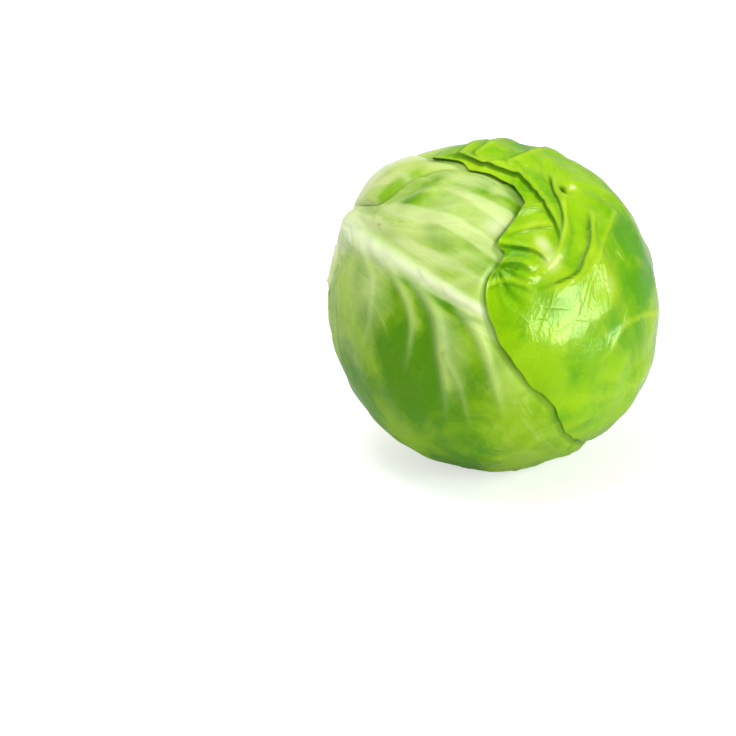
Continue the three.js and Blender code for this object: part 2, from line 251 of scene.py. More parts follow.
frontVeins = [
    vein(8.0, 1.3, [(352, 219), (398, 231), (442, 237), (470, 238), (497, 237)]),
    vein(5.5, 0.9, [(382, 226), (410, 227), (440, 224), (470, 219), (515, 214)]),
    vein(5.0, 0.8, [(372, 221), (400, 203), (424, 192), (450, 186), (480, 185)]),
    vein(4.0, 0.7, [(400, 226), (430, 212), (455, 206), (480, 202), (515, 198)]),
    vein(7.0, 1.1, [(420, 276), (436, 266), (458, 259), (480, 258), (498, 262)]),
    vein(5.0, 0.8, [(443, 291), (460, 283), (476, 280), (492, 282)]),
    # these ribs carry painted light on one side and painted shade on the other
    vein(5.2, 1.8, [(416, 282), (430, 304), (437, 322), (440, 352), (444, 385), (448, 430)], shade=0.8),
    vein(4.8, 1.5, [(462, 309), (475, 331), (486, 355), (496, 388), (505, 425)], shade=0.35),
    vein(4.0, 1.0, [(388, 262), (402, 290), (411, 320), (408, 350), (402, 380)], shade=0.45),
    vein(3.0, 0.5, [(440, 352), (456, 378), (466, 410), (470, 436)]),
    vein(4.0, 0.9, [(364, 245), (372, 280), (370, 320), (360, 360)]),
    # the last two rows draw no rib: painted light above the midrib and painted shade below it, then a
    # painted shadow line under it
    vein(3.0, 0.0, [(372, 246), (400, 266), (440, 292), (468, 312), (492, 326)], shade=0.3),
    vein(3.0, 0.0, [(384, 260), (405, 281), (423, 291), (440, 302), (458, 312.5), (474, 319.5),
        (494, 327)], band=1.1),
]

# the crown leaf's pit: dark and darkSpread place painted shade on one side of it
crownPit = {"at": (567, 189), "depth": 3.4, "spread": 3.4, "dark": (564.5, 188), "darkSpread": 2.7}
# dimples and bulges: pixel x and y, spread, height
crownDimples = [(498, 276, 6, -1.2), (526, 232, 7, -1.0), (610, 330, 7, -1.0)]
crownFans = [
    {"at": (563, 193), "ridges": (8, 14), "height": 0.6, "from": 30, "to": 62},
    {"at": (497, 268), "ridges": (6.5, 10.8), "height": 0.6, "from": 4, "to": 30},
]
frontFans = [{"at": (352, 222), "ridges": (11.5, 19.1), "height": 0.3, "from": 34, "to": 110}]

# spots of deeper green (above nothing) or paler ones: pixel x and y, spread in millimetres, tone; partly
# the leaf's own colour and partly painted light and shade
# on the crown leaf the deep spots at the right and low down are partly painted shade; the pale spots at the
# fold's lip, in the middle and beside the pit are painted highlights; the pale spots along the right edge
# are a painted reflection
crownTones = [
    (630, 237, 11, 0.9), (643, 291, 10, 1.1), (613, 287, 8, -0.45), (637, 264, 5, -0.4),
    (520, 250, 9, 0.35), (506, 312, 11, 0.5), (588, 368, 12, 0.5), (540, 395, 14, 0.35),
    (447, 161, 3.5, -0.8), (458, 163, 3.5, -0.8), (469, 169, 3.5, -0.7), (481, 174, 3.5, -0.5),
    (600, 270, 16, -0.5), (530, 225, 9, -0.4), (552, 262, 9, -0.9), (541, 243, 6, -0.9),
    (540, 300, 11, -0.4), (578, 322, 12, -0.5), (648, 345, 13, -0.55), (655, 315, 13, -0.45),
    (650, 246, 11, -0.45), (640, 375, 12, -0.3), (572.5, 187.5, 2.4, -1.3)]
# on the front leaf the deep spots low down and at the lower left are partly painted shade, and the deep
# spots near its top are painted shade beside the margins over it
frontTones = [
    (412, 395, 22, 0.9), (398, 345, 13, 0.6), (420, 350, 9, 0.5), (470, 405, 18, 0.1),
    (520, 420, 18, 0.1), (360, 400, 26, 0.6), (458, 348, 11, -0.2), (462, 226, 18, -0.45),
    (498, 226, 10, -0.8), (452, 196, 10, -0.5), (410, 240, 16, -0.5), (480, 285, 12, -0.5),
    (515, 196, 6, 0.5), (414, 200, 9, 0.55), (372, 285, 14, -0.7), (440, 455, 24, 0.4),
    (440, 176, 7, 0.5), (486, 186, 7, 0.45)]

topBulges = [(386, 184, 12, 2.2), (408, 169, 10, 1.2), (370, 203, 8, 1.6)]
# the deep spots on the top leaf are painted shadow in the gap under the front leaf's margin
topTones = [(398, 184, 6, 1.0), (384, 198, 5, 1.1), (414, 176, 5, 0.9), (372, 196, 5, -0.5)]


def wrapper(name, longitude, colatitude, ripples, cells, finish, outline=commonOutline, **more):
    # where a leaf's middle lies, how often its margin waves and how many cells its grid has along a side
    slot = "pale_leaf" if finish in ("front", "pale") else "green_leaf"
    return dict(more, name=name, longitude=longitude, colatitude=colatitude, ripples=ripples, cells=cells,
                finish=finish, outline=outline, slot=slot)


# from the outermost leaf to the innermost
wrapperLeaves = [
    wrapper("wrapper_leaf_crown", 90, 120, 9, 214, "crown", crownOutline, folds=crownFolds,
            veins=crownVeins, tones=crownTones, dimples=crownDimples, fans=crownFans, fanFrom=(560, 197),
            curls=[(-104, 10, 1.2)], lift=-0.8, dense=((-0.28, 1.6, 0.45), (-0.74, 3.2, 0.26))),
    wrapper("wrapper_leaf_front", -5, 80, 7, 200, "front", frontOutline, veins=frontVeins, tones=frontTones,
            fans=frontFans, streakAbove=(-34, -6), fanBelow=(419, 155), curls=[(150, 16, -0.4)], lift=0.3,
            dense=((0.1, 0.8, 0.5), (0.05, 0.8, 0.5))),
    wrapper("wrapper_leaf_under", -122, 88, 8, 120, "green"),
    wrapper("wrapper_leaf_back", 152, 86, 10, 130, "green"),
    wrapper("wrapper_leaf_top", 58, 88, 7, 130, "pale", bulges=topBulges, tones=topTones),
    wrapper("wrapper_leaf_far", -168, 92, 9, 90, "green"),
    wrapper("wrapper_leaf_lower", -62, 88, 8, 90, "pale"),
    wrapper("wrapper_leaf_inner", 20, 90, 6, 90, "pale"),
]
blade = {
    "thickness": 0.7, "marginLift": 1.7, "liftReach": 12.0, "thinMargin": 0.45,
    "waveShare": 0.38, "calmRing": (24.0, 45.0), "pucker": 0.4, "puckerSize": 26.0, "serration": 0.28,
    "thicknessSteps": 60, "paleFrom": 12.0, "paleRun": 28.0,
}
midrib = {
    "baseHalfWidth": 15.0, "endHalfWidth": 3.0, "baseHeight": 5.0, "endHeight": 0.4, "baseShare": 0.35,
    "baseRun": 16.0, "endColatitude": 125.0, "endRun": 15.0, "coveredShare": 0.4,
    "paleWidth": 2.2, "paleFlare": 10.5, "paleFlareRun": 34.0, "paleEnd": (95.0, 150.0),
}


def layOut(leaf):
    # the outline gets its root point, and the leaf its own directions
    leaf["outline"] = [(-180, leaf["colatitude"] - head["baseColatitude"])] + leaf["outline"]
    turn, reach = math.radians(leaf["longitude"]), math.radians(leaf["colatitude"])
    leaf["meridian"] = frontAxis * math.cos(turn) + topAxis * math.sin(turn)
    leaf["side"] = -frontAxis * math.sin(turn) + topAxis * math.cos(turn)
    leaf["middle"] = stem * math.cos(reach) + leaf["meridian"] * math.sin(reach)
    leaf["tip"] = -stem * math.sin(reach) + leaf["meridian"] * math.cos(reach)


for wrapperLeaf in wrapperLeaves:
    layOut(wrapperLeaf)


def reachAt(outline, angle):
    # a smooth closed curve through the outline's points
    angles = np.array([p[0] for p in outline], dtype=float)
    reaches = np.array([p[1] for p in outline], dtype=float)
    count = len(outline)
    turned = (angle + 540.0) % 360.0 - 180.0
    index = np.searchsorted(angles, turned, side="right") - 1

    def at(k):
        return angles[k % count] + 360.0 * (k // count), reaches[k % count]

    (a0, r0), (a1, r1), (a2, r2), (a3, r3) = at(index - 1), at(index), at(index + 1), at(index + 2)
    span = a2 - a1
    t = (turned - a1) / span
    slopeIn = (r2 - r0) / (a2 - a0) * span
    slopeOut = (r3 - r1) / (a3 - a1) * span
    return ((2 * t ** 3 - 3 * t ** 2 + 1) * r1 + (t ** 3 - 2 * t ** 2 + t) * slopeIn
            + (3 * t ** 2 - 2 * t ** 3) * r2 + (t ** 3 - t ** 2) * slopeOut)


def polarOn(leaf, dirs):
    angle = np.degrees(np.arctan2(dirs @ leaf["side"], dirs @ leaf["tip"]))
    return degreesFrom(leaf["middle"], dirs), angle, reachAt(leaf["outline"], angle)


def coverOf(leaf, dirs, feather):
    distance, _, edge = polarOn(leaf, dirs)
    return 1.0 - smooth(0.0, feather, distance - edge)


seenAxes = np.array([rightAxis, upAxis, viewer])
swells = [(unit(np.array(at) @ seenAxes), high, wide) for at, high, wide in head["swells"]]


def outerRadius(dirs):
    neck = head["neckRise"] * (1 - smooth(0.0, head["neckSpread"], degreesFrom(stem, dirs)))
    x, y, z = dirs[:, 0], dirs[:, 1], dirs[:, 2]
    awayFromRest = smooth(-0.98, -0.75, z)
    lumps = np.sin(5.2 * x + 1.1) * np.cos(4.6 * z - 0.4) + 0.6 * np.sin(6.8 * y + 3.1 * x + 0.7)
    pit = bell(awayFrom(crownPit["at"], dirs), crownPit["spread"])
    radius = head["radius"] + neck + awayFromRest * head["lumpHeight"] * lumps - crownPit["depth"] * pit
    for direction, high, wide in swells:
        radius = radius + high * bell(degreesFrom(direction, dirs), wide)
    return radius


def ribPlace(leaf, dirs):
    along = np.degrees(np.arctan2(dirs @ leaf["meridian"], dirs @ stem))
    across = np.arcsin(dot(dirs, leaf["side"])) * head["radius"]
    return along, across


def midribOn(leaf, dirs):
    along, across = ribPlace(leaf, dirs)
    share = np.sqrt(smooth(head["baseColatitude"], midrib["endColatitude"], along))
    halfWidth = midrib["baseHalfWidth"] + (midrib["endHalfWidth"] - midrib["baseHalfWidth"]) * share
    height = midrib["baseHeight"] + (midrib["endHeight"] - midrib["baseHeight"]) * share
    crown = np.clip(1 - (across / halfWidth) ** 2, 0, None)
    fromBase = smooth(head["baseColatitude"], head["baseColatitude"] + midrib["baseRun"], along)
    fullness = midrib["baseShare"] + (1 - midrib["baseShare"]) * fromBase
    ending = 1 - smooth(midrib["endColatitude"], midrib["endColatitude"] + midrib["endRun"], along)
    return np.where(along < 0, 0.0, height * fullness * crown ** 2 * ending)


def liftOn(leaf, dirs):
    distance, angle, edge = polarOn(leaf, dirs)
    nearMargin = smooth(edge - blade["liftReach"], edge, distance)
    ripple = np.sin(np.radians(leaf["ripples"] * angle) + leaf["longitude"])
    wave = 1 - blade["waveShare"] + blade["waveShare"] * ripple
    lift = leaf.get("lift", blade["marginLift"]) * wave
    for at, wide, high in leaf.get("curls", []):
        lift = lift + high * bell(angle - at, wide)
    return lift * nearMargin * smooth(*blade["calmRing"], degreesFrom(stem, dirs))


# how veins start along the midrib and spread, in degrees and millimetres
veinRule = {
    "starts": (19, 29, 41, 55, 70, 87, 105, 124), "step": 2.0, "firstTurn": 50.0, "straighten": 0.55,
    "width": 2.3, "height": 0.9, "clearOfEdge": 5.0, "longest": 36,
    "twigEvery": 6, "twigTurn": 42.0, "twigLength": 9, "twigWidth": 1.1, "twigHeight": 0.4,
}


def turnedBy(way, place, degrees):
    turn = math.radians(degrees)
    return unit(way * math.cos(turn) + np.cross(place, way) * math.sin(turn))


def walk(leaf, start, heading, steps, bend, clear):
    # a line over the head that bends towards the leaf's tip as it goes
    place, way, path = start, heading, [start]
    step = math.radians(veinRule["step"])
    for _ in range(steps):
        moved = unit(place * math.cos(step) + way * math.sin(step))
        way = unit(way * math.cos(step) - place * math.sin(step))
        place = moved
        way = turnedBy(way, place, bend)
        distance, _, edge = polarOn(leaf, place[None, :])
        if distance[0] > edge[0] - clear:
            break
        path.append(place)
    return path


def growVeins(leaf, seed):
    draw = np.random.RandomState(seed)
    mains, twigs = [], []
    for hand in (-1, 1):
        for number, begin in enumerate(veinRule["starts"]):
            at = math.radians(begin + (3 if hand > 0 else -3) + draw.uniform(-2, 2))
            start = stem * math.cos(at) + leaf["meridian"] * math.sin(at)
            ahead = -stem * math.sin(at) + leaf["meridian"] * math.cos(at)
            turn = math.radians(veinRule["firstTurn"] + draw.uniform(-6, 6) - 2.2 * number)
            heading = ahead * math.cos(turn) + hand * leaf["side"] * math.sin(turn)
            bend = -hand * veinRule["straighten"]
            path = walk(leaf, start, heading, veinRule["longest"], bend, veinRule["clearOfEdge"])
            if len(path) < 5:
                continue
            mains.append(vein(veinRule["width"], veinRule["height"], path))
            for k in range(3, len(path) - 2, veinRule["twigEvery"]):
                for fork in (-1, 1):
                    way = unit(path[k + 1] - path[k])
                    way = turnedBy(way, path[k], fork * (veinRule["twigTurn"] + draw.uniform(-8, 8)))
                    length = int(veinRule["twigLength"] * draw.uniform(0.6, 1.2))
                    twig = walk(leaf, path[k], way, length, -fork * draw.uniform(0.5, 2.0), 3.0)
                    if len(twig) > 3:
                        twigs.append(vein(veinRule["twigWidth"], veinRule["twigHeight"], twig))
    return mains, twigs


def veinRelief(veins, dirs, fade):
    # the height that veins stand out, and how much each place is vein, thinning along each line
    lines = [smoothLine(row["line"]) for row in veins]
    widths = np.array([row["width"] for row in veins])
    heights = np.array([row["height"] for row in veins])
    which, away, along, _ = nearestOn(lines, dirs, 2.4 * widths.max())
    near = which >= 0
    thin = 1 - 0.55 * along
    width = np.where(near, widths[which] * thin, 1.0)
    height = np.where(near, heights[which] * thin * taper(along, 0.06, 0.7), 0.0)
    profile = bell(away, 0.62 * width)
    strength = np.clip(heights[which], 0.3, 1.0) * smooth(1.0, 0.45, along) * near
    return height * profile * fade, bell(away, 0.75 * width) * strength * fade


# a fold's groove, the widths of its painted shade line above and below it, and where its painted highlight
# lies
foldShape = {"groove": 0.5, "grooveGap": 0.5, "grooveWidth": 1.3, "darkAbove": 0.6, "darkBelow": 1.0,
             "crestAt": 2.4, "crestWidth": 1.6}
veinTone = {"bandReach": 12.0, "bandWidth": 2.4, "shadeReach": 26.0, "shadeStart": 1.8, "shadeWidth": 9.0}


def drawnLine(row):
    return smoothLine([onHead(p) for p in row["line"]])


def foldRelief(folds, dirs):
    # each fold rises on one side of its line and drops into a groove on the other, with painted shade along
    # the line and a painted highlight along its crest
    rise, creaseShade, crestHighlight = np.zeros((3, len(dirs)))
    for row in folds:
        line = drawnLine(row)
        which, away, along, side = nearestOn([line], dirs, 2.6 * row["run"])
        near, above = which >= 0, side > 0
        raised = bell(away, row["run"])
        fallen = 1 - smooth(0.0, row["edge"], away)
        outer = taper(along, 0.14, 0.8) * near
        inner = taper(along, 0.2, 0.75) * near
        fromGroove = away - row["edge"] - foldShape["grooveGap"]
        groove = row.get("groove", foldShape["groove"]) * bell(fromGroove, foldShape["grooveWidth"])
        here = row["height"] * np.where(above, raised, fallen) * outer
        rise = np.maximum(rise, here) - np.where(above, 0, groove) * outer * inner
        # painted shade: a dark line along each fold
        dark = bell(away, np.where(above, foldShape["darkAbove"], foldShape["darkBelow"]))
        creaseShade = np.maximum(creaseShade, row.get("dark", 1.0) * dark * inner)
        # painted highlight: a pale line along the crest of the raised side
        top = bell(away - foldShape["crestAt"], foldShape["crestWidth"])
        crestHighlight = np.maximum(crestHighlight, np.where(above, top, 0) * outer)
    return rise, creaseShade, crestHighlight


def toneOn(leaf, dirs):
    # how much deeper green or paler each place is than the leaf's plain colour, partly the leaf's own
    # colour and partly painted light and shade
    tone = spotsOn(leaf.get("tones", []), dirs)
    for row in leaf.get("veins", []):
        line = drawnLine(row)
        # band: a painted shadow line along the line
        if "band" in row:
            _, away, along, _ = nearestOn([line], dirs, veinTone["bandReach"])
            band = bell(away, veinTone["bandWidth"])
            tone += row["band"] * band * taper(along, 0.25, 0.85)
        # shade: painted light on one side of the line and painted shade on the other
        if "shade" in row:
            _, away, along, side = nearestOn([line], dirs, veinTone["shadeReach"])
            beside = (1 - bell(away, veinTone["shadeStart"])) * bell(away, veinTone["shadeWidth"])
            tone -= row["shade"] * side * beside * taper(along, 0.12, 0.6)
    return tone


streakCount = 16


def streaksOn(dirs, seed):
    # long pale streaks that fan out from the stalk
    turn = np.degrees(np.arctan2(dirs @ topAxis, dirs @ frontAxis))
    fromStem = degreesFrom(stem, dirs)
    draw = np.random.RandomState(seed)
    streaks = np.zeros(len(dirs))
    for _ in range(streakCount):
        often = draw.uniform(7, 34)
        phase = draw.uniform(0, 6.28) + 0.9 * np.sin(fromStem / draw.uniform(9, 22) + draw.uniform(0, 6.28))
        strength = np.sin(fromStem / draw.uniform(12, 30) + draw.uniform(0, 6.28))
        streaks += strength * np.sin(np.radians(turn) * round(often) + phase)
    return streaks / (0.65 * math.sqrt(streakCount))


def fanRelief(leaf, dirs, seed):
    # low ridges that spread from one place like the pleats of a cloth, then bulges and dimples
    height = np.zeros(len(dirs))
    for number, fan in enumerate(leaf.get("fans", [])):
        middle = onHead(fan["at"])
        across = unit(np.cross(middle, viewer + 0.01 * rightAxis + 0.4 * upAxis))
        turn = np.arctan2(dirs @ np.cross(middle, across), dirs @ across)
        away = awayFrom(fan["at"], dirs)
        swirl = turn + away / 70.0 + 0.25 * waves(dirs, 40.0, seed + number)
        coarse, fine = fan["ridges"]
        wide = np.sin(coarse * swirl) + 0.6 * np.sin(fine * swirl + 1.3)
        fade = smooth(0, fan["from"], away) * (1 - smooth(0.5 * fan["to"], fan["to"], away))
        height += fan["height"] * wide * fade
    return height + spotsOn(leaf.get("bulges", []) + leaf.get("dimples", []), dirs)


def detailOn(leaf, dirs, seed):
    # everything that stands out of a leaf's blade, and the masks that its finish reads
    mains, twigs = growVeins(leaf, seed)
    fromViewer = dirs @ viewer
    fade = 1 - smooth(-0.4, -0.1, fromViewer) if "veins" in leaf else np.ones(len(dirs))
    height, veined = veinRelief(mains, dirs, fade)
    twigHeight, twig = veinRelief(twigs, dirs, fade)
    height, veined = np.maximum(height, twigHeight), np.maximum(veined, twig * 0.6)
    if "veins" in leaf:
        drawn = [dict(v, line=[onHead(p) for p in v["line"]]) for v in leaf["veins"] if v["height"] > 0]
        ownHeight, ownVein = veinRelief(drawn, dirs, np.ones(len(dirs)))
        height, veined = np.maximum(height, ownHeight), np.maximum(veined, ownVein)
    creaseShade, crestHighlight = np.zeros((2, len(dirs)))
    if "folds" in leaf:
        rise, creaseShade, crestHighlight = foldRelief(leaf["folds"], dirs)
        height = height + rise
        # painted shade in one side of the pit
        inPit = awayFrom(crownPit["dark"], dirs) / crownPit["darkSpread"]
        creaseShade = np.maximum(creaseShade, np.exp(-inPit ** 4))
    puckers = blade["pucker"] * waves(dirs, blade["puckerSize"], seed + 40)
    return height + puckers + fanRelief(leaf, dirs, seed), veined, creaseShade, crestHighlight


def stackAt(dirs, stopAt):
    # how deep a leaf lies under the ones outside it
    depth, cover = np.zeros((2, len(dirs)))
    for leaf in wrapperLeaves:
        if leaf is stopAt:
            break
        mask = coverOf(leaf, dirs, head["feather"])
        depth += mask * (head["layerPitch"] + cover * midrib["coveredShare"] * midribOn(leaf, dirs))
        cover = np.maximum(cover, mask)
    return depth, cover


def restLevel(index):
    spots = [(0.0, 0.0, -1.0)] + [(math.cos(a), math.sin(a), -head["restRingSlope"])
                                 for a in np.radians(np.arange(0, 360, 45))]
    spots = unit(np.array(spots))
    level = 0.0
    for leaf in wrapperLeaves[:index]:
        distance, _, edge = polarOn(leaf, spots)
        if (distance < edge + 1).any():
            level += head["layerPitch"]
    return level


def onlySelect(obj):
    bpy.ops.object.select_all(action="DESELECT")
    obj.select_set(True)
    bpy.context.view_layer.objects.active = obj


def addMasks(mesh, masks):
    for name, values in masks.items():
        layer = mesh.attributes.new(name, "FLOAT", "POINT")
        layer.data.foreach_set("value", np.asarray(values, dtype=np.float32))


def vertexPlaces(mesh):
    flat = np.empty(len(mesh.vertices) * 3, dtype=np.float32)
    mesh.vertices.foreach_get("co", flat)
    return flat.reshape(-1, 3).astype(float)


def shapeMesh(mesh, dirs, radius, level):
    # sets the vertices by their millimetres from the head's middle, none of them under the rest level
    places = headCentre + dirs * radius[:, None]
    places[:, 2] = np.maximum(places[:, 2], level)
    mesh.vertices.foreach_set("co", (places / 1000).astype(np.float32).ravel())


fanNames = ("fanSine", "fanCosine", "fanReach")


def fanPlace(root, side, dirs):
    # the turn round a root that fine strands spread from, as sine and cosine, and the distance in radians
    first = unit(np.cross(root, side))
    second = np.cross(root, first)
    across, ahead = dirs @ second, dirs @ first
    length = np.maximum(1e-6, np.hypot(across, ahead))
    return across / length, ahead / length, np.arccos(dot(dirs, root))


def crowded(values, at, gain, spread):
    # moves evenly spaced grid lines closer together round one place
    line = np.linspace(-1, 1, 401)
    total = np.cumsum(1 + gain * bell(line - at, spread))
    total = 2 * (total - total[0]) / (total[-1] - total[0]) - 1
    return np.interp(values, total, line)


def makeLeaf(leaf, index, material):
    cells = leaf["cells"]
    bpy.ops.mesh.primitive_grid_add(x_subdivisions=cells, y_subdivisions=cells, size=2)
    obj = bpy.context.object
    obj.name = leaf["name"].replace("wrapper_leaf", "leaf")
    mesh = obj.data
    p, q, _ = vertexPlaces(mesh).T
    if "dense" in leaf:
        p, q = crowded(p, *leaf["dense"][0]), crowded(q, *leaf["dense"][1])
    u, v = p * np.sqrt(1 - q * q / 2), q * np.sqrt(1 - p * p / 2)
    share = np.minimum(1.0, np.hypot(u, v))
    angle = np.degrees(np.arctan2(v, u))
    turn = np.radians(angle)
    nick = np.sin(13 * turn + index) + 0.8 * np.sin(21 * turn + 2 * index) + 0.7 * np.sin(37 * turn)
    fromBase = smooth(0.0, 25.0, 180 - np.abs(angle))
    mean = np.mean([r for _, r in leaf["outline"]])
    edge = reachAt(leaf["outline"], angle) + blade["serration"] * nick * fromBase
    distance = np.radians(share * (mean + (edge - mean) * share))
    out = leaf["tip"] * np.cos(turn)[:, None] + leaf["side"] * np.sin(turn)[:, None]
    dirs = unit(leaf["middle"] * np.cos(distance)[:, None] + out * np.sin(distance)[:, None])

    depth, cover = stackAt(dirs, leaf)
    bare = 1 - cover
    height, veined, creaseShade, crestHighlight = detailOn(leaf, dirs, 7 + index)
    rib = midribOn(leaf, dirs)
    stand = bare * (liftOn(leaf, dirs) + height + rib)
    radius = outerRadius(dirs) - depth + stand
    shapeMesh(mesh, dirs, radius, restLevel(index))

    # the rib is thick flesh, the margin thin
    polar, _, edge = polarOn(leaf, dirs)
    thickest = blade["thickness"] + midrib["baseHeight"]
    thinning = 1 - (1 - blade["thinMargin"] / blade["thickness"]) * smooth(edge - 8, edge, polar)
    thick = blade["thickness"] * thinning + rib * (bare + cover * midrib["coveredShare"])
    group = obj.vertex_groups.new(name="thick")
    weights = blade["thicknessSteps"]
    steps = np.round(np.clip(thick / thickest, 0.02, 1.0) * weights).astype(int)
    for value in np.unique(steps):
        group.add(np.nonzero(steps == value)[0].tolist(), float(value) / weights, "REPLACE")

    along, across = ribPlace(leaf, dirs)
    flare = np.exp(-(along - head["baseColatitude"]) / midrib["paleFlareRun"])
    ribMask = bell(across, midrib["paleWidth"] + midrib["paleFlare"] * flare)
    ribMask = ribMask * (1 - smooth(*midrib["paleEnd"], along)) * (along > 0)
    base = np.exp(-np.maximum(0, degreesFrom(stem, dirs) - blade["paleFrom"]) / blade["paleRun"])
    fan = fanPlace(onHead(leaf["fanFrom"]) if "fanFrom" in leaf else stem, leaf["side"], dirs)
    streak = streaksOn(dirs, 60 + index)
    if "streakAbove" in leaf:
        # below the midrib the strands spread from another place, and the streaks end
        above = smooth(*leaf["streakAbove"], across)
        low = fanPlace(onHead(leaf["fanBelow"]), leaf["side"], dirs)
        fan = [lowPart + (part - lowPart) * above for part, lowPart in zip(fan, low)]
        streak = streak * above - (1 - above)
    # the masks: painted shade under covering leaves and in creases, a painted highlight on fold crests, and
    # tones that are partly painted light and shade
    addMasks(mesh, {"rib": ribMask, "vein": veined, "creaseShade": creaseShade, "crestHighlight": crestHighlight, "base": base,
                    "covered": smooth(0.0, 0.9, cover), "tone": toneOn(leaf, dirs), "streak": streak})
    addMasks(mesh, dict(zip(fanNames, fan)))

    onlySelect(obj)
    sheet = obj.modifiers.new("flesh", "SOLIDIFY")
    sheet.thickness = thickest / 1000
    sheet.offset = -1
    sheet.vertex_group = "thick"
    sheet.thickness_vertex_group = 0.0
    sheet.use_quality_normals = False
    bpy.ops.object.modifier_apply(modifier="flesh")
    bpy.ops.object.shade_smooth_by_angle(angle=math.radians(65))
    mesh.materials.clear()
    mesh.materials.append(material)
    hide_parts(leaf["name"])
    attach(obj, "root")
    return obj


def linear(red, green, blue):
    # a colour as read off a picture, in the renderer's own scale
    shares = (red / 255, green / 255, blue / 255)
    return tuple(c / 12.92 if c <= 0.04045 else ((c + 0.055) / 1.055) ** 2.4 for c in shares) + (1.0,)


# the finishes: colours as read off a picture, then numbers, each for the skin's socket of that name; the
# last colour is the darkest green of the painted shade in creases and under covering leaves
colourNames = ("Deep Green", "Light Green", "Pale", "Rib", "Crease Shade")
numberNames = ("Paleness", "Base Paleness", "Vein Contrast", "Net Contrast", "Roughness", "Net Relief",
               "Strand Relief")
finishValues = {
    "crown": ((90, 168, 0), (154, 210, 4), (198, 230, 44), (226, 240, 180), (36, 92, 0),
              0.16, 0.5, 0.6, 0.05, 0.17, 0.3, 1.5),
    "front": ((86, 150, 0), (156, 202, 12), (208, 232, 146), (236, 250, 200), (84, 138, 4),
              0.6, 0.95, 0.5, 0.02, 0.33, 0.12, 2.2),
    "green": ((88, 156, 6), (146, 198, 28), (200, 230, 120), (236, 245, 206), (62, 116, 0),
              0.2, 0.9, 0.6, 0.1, 0.3, 0.4, 1.5),
    "pale": ((140, 194, 34), (184, 220, 74), (216, 238, 150), (240, 247, 216), (84, 140, 4),
              0.4, 0.9, 0.5, 0.05, 0.36, 0.2, 1.5),
}
leafFinishes = {name: dict(zip(colourNames + numberNames, [linear(*c) for c in row[:5]] + list(row[5:])))
                for name, row in finishValues.items()}


def addSocket(group, name, kind, way, default=None):
    made = group.interface.new_socket(name=name, in_out=way, socket_type=kind)
    if default is not None:
        made.default_value = default


def link(tree, source, target):
    tree.links.new(source, target)


def setInputs(node, values):
    for socket, value in values.items():
        node.inputs[socket].default_value = value


def mathNode(tree, operation, first, second=None, clamp=False):
    node = tree.nodes.new("ShaderNodeMath")
    node.operation = operation
    node.use_clamp = clamp
    for slot, value in ((0, first), (1, second)):
        if value is None:
            continue
        if isinstance(value, (int, float)):
            node.inputs[slot].default_value = value
        else:
            link(tree, value, node.inputs[slot])
    return node.outputs[0]


def mixNode(tree, factor, first, second):
    node = tree.nodes.new("ShaderNodeMix")
    node.data_type = "RGBA"
    for socket, value in ((node.inputs[0], factor), (node.inputs[6], first), (node.inputs[7], second)):
        if isinstance(value, (int, float, tuple)):
            socket.default_value = value
        else:
            link(tree, value, socket)
    return node.outputs[2]


def maskNode(tree, name):
    node = tree.nodes.new("ShaderNodeAttribute")
    node.attribute_name = name
    return node.outputs["Fac"]


def noiseNode(tree, place, scale, detail=3.0, roughness=0.55, distortion=0.0):
    node = tree.nodes.new("ShaderNodeTexNoise")
    setInputs(node, {"Scale": scale, "Detail": detail, "Roughness": roughness, "Distortion": distortion})
    link(tree, place, node.inputs["Vector"])
    return node.outputs["Fac"]


def rampNode(tree, value, low, high):
    node = tree.nodes.new("ShaderNodeMapRange")
    node.interpolation_type = "SMOOTHSTEP"
    setInputs(node, {"From Min": low, "From Max": high})
    link(tree, value, node.inputs["Value"])
    return node.outputs["Result"]


def toolsFor(tree):
    # the makers of sums, mixes, noises and ramps with their tree filled in
    sums = [partial(mathNode, tree, operation) for operation in ("MULTIPLY", "ADD", "SUBTRACT")]
    return sums + [partial(maker, tree) for maker in (mixNode, noiseNode, rampNode)]


def netNode(tree, place, scale, width):
    # a net of fine veins: thin lines between irregular cells
    wobble = tree.nodes.new("ShaderNodeTexNoise")
    wobble.inputs["Scale"].default_value = scale * 0.8
    link(tree, place, wobble.inputs["Vector"])
    shift = tree.nodes.new("ShaderNodeVectorMath")
    shift.operation = "MULTIPLY_ADD"
    link(tree, wobble.outputs["Color"], shift.inputs[0])
    shift.inputs[1].default_value = (0.35 / scale,) * 3
    link(tree, place, shift.inputs[2])
    cells = tree.nodes.new("ShaderNodeTexVoronoi")
    cells.feature = "DISTANCE_TO_EDGE"
    cells.inputs["Scale"].default_value = scale
    link(tree, shift.outputs[0], cells.inputs["Vector"])
    return mathNode(tree, "SUBTRACT", 1.0, rampNode(tree, cells.outputs["Distance"], 0.0, width))


skinScales = {"broad": 14.0, "patches": 38.0, "fine": 420.0, "strand": 1.5, "net": 95.0, "smallNet": 260.0}
strandsRound = 9.0


